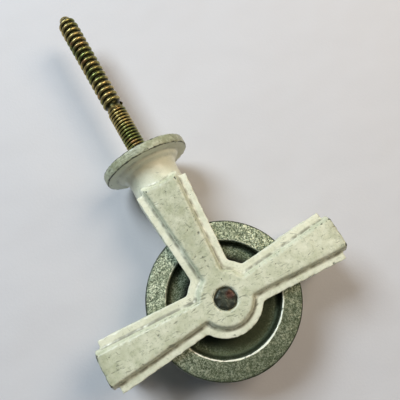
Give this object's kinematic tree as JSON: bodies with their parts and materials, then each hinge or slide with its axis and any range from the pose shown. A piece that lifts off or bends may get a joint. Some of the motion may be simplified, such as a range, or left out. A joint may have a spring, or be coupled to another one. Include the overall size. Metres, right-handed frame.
{
  "type": "clothes line pulley",
  "caption": "Wall pulley: a grooved sheave wheel on a rivet between the T-shaped cheeks of a painted cast yoke, with a hanger bolt screwed into its round flange.",
  "frame": {"origin": "on the hanger bolt's axis, in the plane of the flange's wall face", "axes": "+Y along the bolt into the wall, +Z along the wheel's axle towards the front cheek, +X along the right arm"},
  "size_m": [0.0972, 0.1658, 0.0358],
  "materials": {
    "cast_paint": "thick cream-white paint over a rough casting, scuffed dark along its raised edges",
    "rough_zinc": "dull grey-green zinc, coarse and speckled as cast, bright on its worn edges",
    "dark_rivet": "dark brown-black oxidised steel",
    "yellow_zinc": "yellow-passivated zinc plate, golden on the crests and dark green in the roots"
  },
  "bodies": {
    "yoke_body": {"yoke": "cast_paint", "axle_rivet": "dark_rivet", "hanger_bolt": "yellow_zinc"},
    "wheel_body": {"sheave_wheel": "rough_zinc"}
  },
  "joints": [
    {"name": "wheel_spin", "type": "hinge", "parent": "yoke_body", "child": "wheel_body", "pos_m": [0, -0.0636, 0], "axis": [0, 0, 1], "continuous": true}
  ]
}
